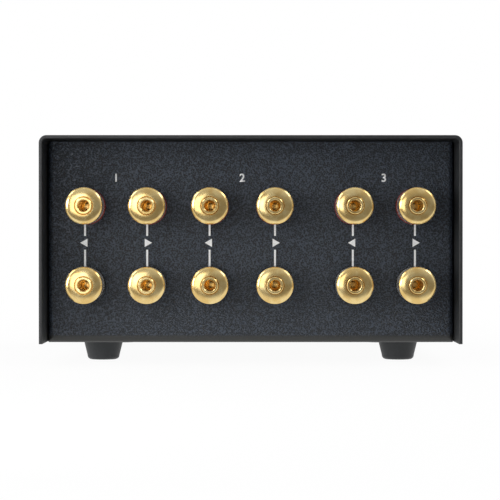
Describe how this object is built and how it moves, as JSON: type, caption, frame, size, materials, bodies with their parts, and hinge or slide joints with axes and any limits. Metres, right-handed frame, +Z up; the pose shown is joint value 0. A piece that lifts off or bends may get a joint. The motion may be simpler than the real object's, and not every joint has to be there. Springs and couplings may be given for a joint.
{
  "type": "speaker selector switch",
  "caption": "Flat black steel box with a turning front dial and rows of gold screw-cap binding posts on a recessed rear panel, standing on rubber feet.",
  "frame": {"origin": "bottom centre of the bounding box, on the surface the feet stand on", "axes": "+Z up, +Y out of the connector panel, the dial faces -Y, the picture looks along -Y"},
  "size_m": [0.15, 0.1968, 0.0817],
  "materials": {
    "top_cover": "satin black powder coat",
    "chassis_tray": "fine textured black powder coat",
    "front_panel": "brushed, black anodised",
    "rubber_feet": "moulded, matt",
    "cover_screws": "black oxide",
    "chassis_screws": "bright zinc",
    "post_studs": "gold plated",
    "red_insulators": "translucent red, smooth",
    "black_insulators": "black, smooth",
    "solder_lugs": "tinned",
    "post_nuts": "gold plated",
    "red_wires": "extruded insulation",
    "black_wires": "extruded insulation",
    "switch_bushing": "nickel plated",
    "switch_nut": "nickel plated",
    "switch_wafers": "phenolic laminate",
    "switch_contacts": "silver plated",
    "switch_ties": "zinc plated",
    "index_plate": "stamped",
    "detent_spring": "spring steel",
    "switch_rotors": "moulded",
    "switch_shaft": "turned",
    "dial_knob": "turned, satin",
    "grub_screw": "black oxide",
    "clamp_washers": "gold plated",
    "cap_cores": "polished, gold plated",
    "cap_sleeves": "clear, smooth"
  },
  "bodies": {
    "case": {"top_cover": "top_cover", "chassis_tray": "chassis_tray", "front_panel": "front_panel", "rubber_feet": "rubber_feet", "cover_screws": "cover_screws", "chassis_screws": "chassis_screws", "post_studs": "post_studs", "red_insulators": "red_insulators", "black_insulators": "black_insulators", "solder_lugs": "solder_lugs", "post_nuts": "post_nuts", "red_wires": "red_wires", "black_wires": "black_wires", "switch_bushing": "switch_bushing", "switch_nut": "switch_nut", "switch_wafers": "switch_wafers", "switch_contacts": "switch_contacts", "switch_ties": "switch_ties", "detent_spring": "detent_spring"},
    "dial": {"dial_knob": "dial_knob", "grub_screw": "grub_screw", "switch_shaft": "switch_shaft", "index_plate": "index_plate", "switch_rotors": "switch_rotors"},
    "clamp_top_1": {"clamp_washer_top_1": "clamp_washers"},
    "cap_top_1": {"cap_core_top_1": "cap_cores", "cap_sleeve_top_1": "cap_sleeves"},
    "clamp_top_2": {"clamp_washer_top_2": "clamp_washers"},
    "cap_top_2": {"cap_core_top_2": "cap_cores", "cap_sleeve_top_2": "cap_sleeves"},
    "clamp_top_3": {"clamp_washer_top_3": "clamp_washers"},
    "cap_top_3": {"cap_core_top_3": "cap_cores", "cap_sleeve_top_3": "cap_sleeves"},
    "clamp_top_4": {"clamp_washer_top_4": "clamp_washers"},
    "cap_top_4": {"cap_core_top_4": "cap_cores", "cap_sleeve_top_4": "cap_sleeves"},
    "clamp_top_5": {"clamp_washer_top_5": "clamp_washers"},
    "cap_top_5": {"cap_core_top_5": "cap_cores", "cap_sleeve_top_5": "cap_sleeves"},
    "clamp_top_6": {"clamp_washer_top_6": "clamp_washers"},
    "cap_top_6": {"cap_core_top_6": "cap_cores", "cap_sleeve_top_6": "cap_sleeves"},
    "clamp_bottom_1": {"clamp_washer_bottom_1": "clamp_washers"},
    "cap_bottom_1": {"cap_core_bottom_1": "cap_cores", "cap_sleeve_bottom_1": "cap_sleeves"},
    "clamp_bottom_2": {"clamp_washer_bottom_2": "clamp_washers"},
    "cap_bottom_2": {"cap_core_bottom_2": "cap_cores", "cap_sleeve_bottom_2": "cap_sleeves"},
    "clamp_bottom_3": {"clamp_washer_bottom_3": "clamp_washers"},
    "cap_bottom_3": {"cap_core_bottom_3": "cap_cores", "cap_sleeve_bottom_3": "cap_sleeves"},
    "clamp_bottom_4": {"clamp_washer_bottom_4": "clamp_washers"},
    "cap_bottom_4": {"cap_core_bottom_4": "cap_cores", "cap_sleeve_bottom_4": "cap_sleeves"},
    "clamp_bottom_5": {"clamp_washer_bottom_5": "clamp_washers"},
    "cap_bottom_5": {"cap_core_bottom_5": "cap_cores", "cap_sleeve_bottom_5": "cap_sleeves"},
    "clamp_bottom_6": {"clamp_washer_bottom_6": "clamp_washers"},
    "cap_bottom_6": {"cap_core_bottom_6": "cap_cores", "cap_sleeve_bottom_6": "cap_sleeves"}
  },
  "joints": [
    {"name": "dial_turn", "type": "hinge", "parent": "case", "child": "dial", "pos_m": [0, -0.0796, 0.04457], "axis": [0, 1, 0], "range_deg": [-30, 30]},
    {"name": "cap_top_1_travel", "type": "slide", "parent": "case", "child": "clamp_top_1", "axis": [0, 1, 0], "range_m": [0, 0.005]},
    {"name": "cap_top_1_turn", "type": "hinge", "parent": "clamp_top_1", "child": "cap_top_1", "pos_m": [0.0591, 0.0894, 0.0567], "axis": [0, 1, 0], "range_deg": [0, 1800]},
    {"name": "cap_top_2_travel", "type": "slide", "parent": "case", "child": "clamp_top_2", "axis": [0, 1, 0], "range_m": [0, 0.005]},
    {"name": "cap_top_2_turn", "type": "hinge", "parent": "clamp_top_2", "child": "cap_top_2", "pos_m": [0.0369, 0.0894, 0.0567], "axis": [0, 1, 0], "range_deg": [0, 1800]},
    {"name": "cap_top_3_travel", "type": "slide", "parent": "case", "child": "clamp_top_3", "axis": [0, 1, 0], "range_m": [0, 0.005]},
    {"name": "cap_top_3_turn", "type": "hinge", "parent": "clamp_top_3", "child": "cap_top_3", "pos_m": [0.0145, 0.0894, 0.0567], "axis": [0, 1, 0], "range_deg": [0, 1800]},
    {"name": "cap_top_4_travel", "type": "slide", "parent": "case", "child": "clamp_top_4", "axis": [0, 1, 0], "range_m": [0, 0.005]},
    {"name": "cap_top_4_turn", "type": "hinge", "parent": "clamp_top_4", "child": "cap_top_4", "pos_m": [-0.0086, 0.0894, 0.0567], "axis": [0, 1, 0], "range_deg": [0, 1800]},
    {"name": "cap_top_5_travel", "type": "slide", "parent": "case", "child": "clamp_top_5", "axis": [0, 1, 0], "range_m": [0, 0.005]},
    {"name": "cap_top_5_turn", "type": "hinge", "parent": "clamp_top_5", "child": "cap_top_5", "pos_m": [-0.0369, 0.0894, 0.0567], "axis": [0, 1, 0], "range_deg": [0, 1800]},
    {"name": "cap_top_6_travel", "type": "slide", "parent": "case", "child": "clamp_top_6", "axis": [0, 1, 0], "range_m": [0, 0.005]},
    {"name": "cap_top_6_turn", "type": "hinge", "parent": "clamp_top_6", "child": "cap_top_6", "pos_m": [-0.059, 0.0894, 0.0567], "axis": [0, 1, 0], "range_deg": [0, 1800]},
    {"name": "cap_bottom_1_travel", "type": "slide", "parent": "case", "child": "clamp_bottom_1", "axis": [0, 1, 0], "range_m": [0, 0.005]},
    {"name": "cap_bottom_1_turn", "type": "hinge", "parent": "clamp_bottom_1", "child": "cap_bottom_1", "pos_m": [0.0591, 0.0894, 0.0285], "axis": [0, 1, 0], "range_deg": [0, 1800]},
    {"name": "cap_bottom_2_travel", "type": "slide", "parent": "case", "child": "clamp_bottom_2", "axis": [0, 1, 0], "range_m": [0, 0.005]},
    {"name": "cap_bottom_2_turn", "type": "hinge", "parent": "clamp_bottom_2", "child": "cap_bottom_2", "pos_m": [0.0369, 0.0894, 0.0285], "axis": [0, 1, 0], "range_deg": [0, 1800]},
    {"name": "cap_bottom_3_travel", "type": "slide", "parent": "case", "child": "clamp_bottom_3", "axis": [0, 1, 0], "range_m": [0, 0.005]},
    {"name": "cap_bottom_3_turn", "type": "hinge", "parent": "clamp_bottom_3", "child": "cap_bottom_3", "pos_m": [0.0145, 0.0894, 0.0285], "axis": [0, 1, 0], "range_deg": [0, 1800]},
    {"name": "cap_bottom_4_travel", "type": "slide", "parent": "case", "child": "clamp_bottom_4", "axis": [0, 1, 0], "range_m": [0, 0.005]},
    {"name": "cap_bottom_4_turn", "type": "hinge", "parent": "clamp_bottom_4", "child": "cap_bottom_4", "pos_m": [-0.0086, 0.0894, 0.0285], "axis": [0, 1, 0], "range_deg": [0, 1800]},
    {"name": "cap_bottom_5_travel", "type": "slide", "parent": "case", "child": "clamp_bottom_5", "axis": [0, 1, 0], "range_m": [0, 0.005]},
    {"name": "cap_bottom_5_turn", "type": "hinge", "parent": "clamp_bottom_5", "child": "cap_bottom_5", "pos_m": [-0.0369, 0.0894, 0.0285], "axis": [0, 1, 0], "range_deg": [0, 1800]},
    {"name": "cap_bottom_6_travel", "type": "slide", "parent": "case", "child": "clamp_bottom_6", "axis": [0, 1, 0], "range_m": [0, 0.005]},
    {"name": "cap_bottom_6_turn", "type": "hinge", "parent": "clamp_bottom_6", "child": "cap_bottom_6", "pos_m": [-0.059, 0.0894, 0.0285], "axis": [0, 1, 0], "range_deg": [0, 1800]}
  ],
  "couplings": [
    {"joint": "cap_top_1_turn", "follows": "cap_top_1_travel", "rad_per_m": 6283.2},
    {"joint": "cap_top_2_turn", "follows": "cap_top_2_travel", "rad_per_m": 6283.2},
    {"joint": "cap_top_3_turn", "follows": "cap_top_3_travel", "rad_per_m": 6283.2},
    {"joint": "cap_top_4_turn", "follows": "cap_top_4_travel", "rad_per_m": 6283.2},
    {"joint": "cap_top_5_turn", "follows": "cap_top_5_travel", "rad_per_m": 6283.2},
    {"joint": "cap_top_6_turn", "follows": "cap_top_6_travel", "rad_per_m": 6283.2},
    {"joint": "cap_bottom_1_turn", "follows": "cap_bottom_1_travel", "rad_per_m": 6283.2},
    {"joint": "cap_bottom_2_turn", "follows": "cap_bottom_2_travel", "rad_per_m": 6283.2},
    {"joint": "cap_bottom_3_turn", "follows": "cap_bottom_3_travel", "rad_per_m": 6283.2},
    {"joint": "cap_bottom_4_turn", "follows": "cap_bottom_4_travel", "rad_per_m": 6283.2},
    {"joint": "cap_bottom_5_turn", "follows": "cap_bottom_5_travel", "rad_per_m": 6283.2},
    {"joint": "cap_bottom_6_turn", "follows": "cap_bottom_6_travel", "rad_per_m": 6283.2}
  ]
}
